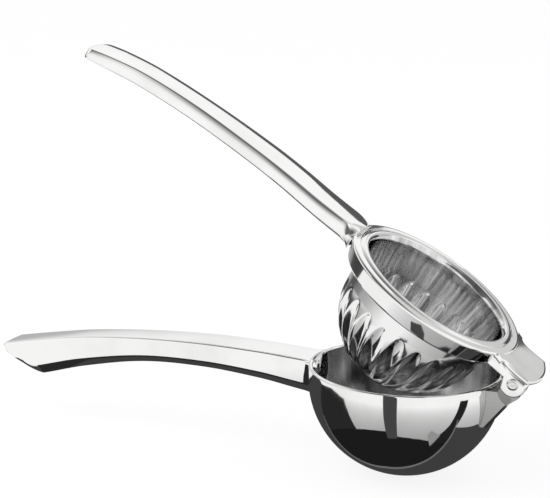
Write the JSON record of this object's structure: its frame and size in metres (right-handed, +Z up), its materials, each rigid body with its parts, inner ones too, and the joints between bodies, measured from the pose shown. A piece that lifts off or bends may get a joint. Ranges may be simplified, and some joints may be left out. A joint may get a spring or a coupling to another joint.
{
  "type": "lemon squeezer",
  "caption": "Hinged lemon squeezer: a fluted press cup in a ring swings into a plain round press bowl, each with a long curved handle.",
  "frame": {"origin": "centre of the bounding box at the height of the bowl's lowest point, as the squeezer stands with its bowl upright and its arm held open", "axes": "+X along the tool from the handles' tips towards the hinge, +Y across it along the hinge pin, +Z up"},
  "size_m": [0.2178, 0.072, 0.1515],
  "materials": {
    "polished_steel": "mirror-polished stainless steel",
    "satin_steel": "fine satin stainless steel inside, polished on the rim and outside",
    "rivet_steel": "peened stainless steel rivet"
  },
  "bodies": {
    "bowl_arm": {"press_bowl": "polished_steel", "bowl_handle": "polished_steel", "hinge_bracket": "polished_steel"},
    "cup_arm": {"cup_ring": "polished_steel", "press_cup": "satin_steel", "cup_handle": "polished_steel", "hinge_pin": "rivet_steel"}
  },
  "joints": [
    {"name": "arm_hinge", "type": "hinge", "parent": "bowl_arm", "child": "cup_arm", "pos_m": [0.10074, 0, 0.0428], "axis": [0, 1, 0], "range_deg": [-33.8, 60]}
  ]
}
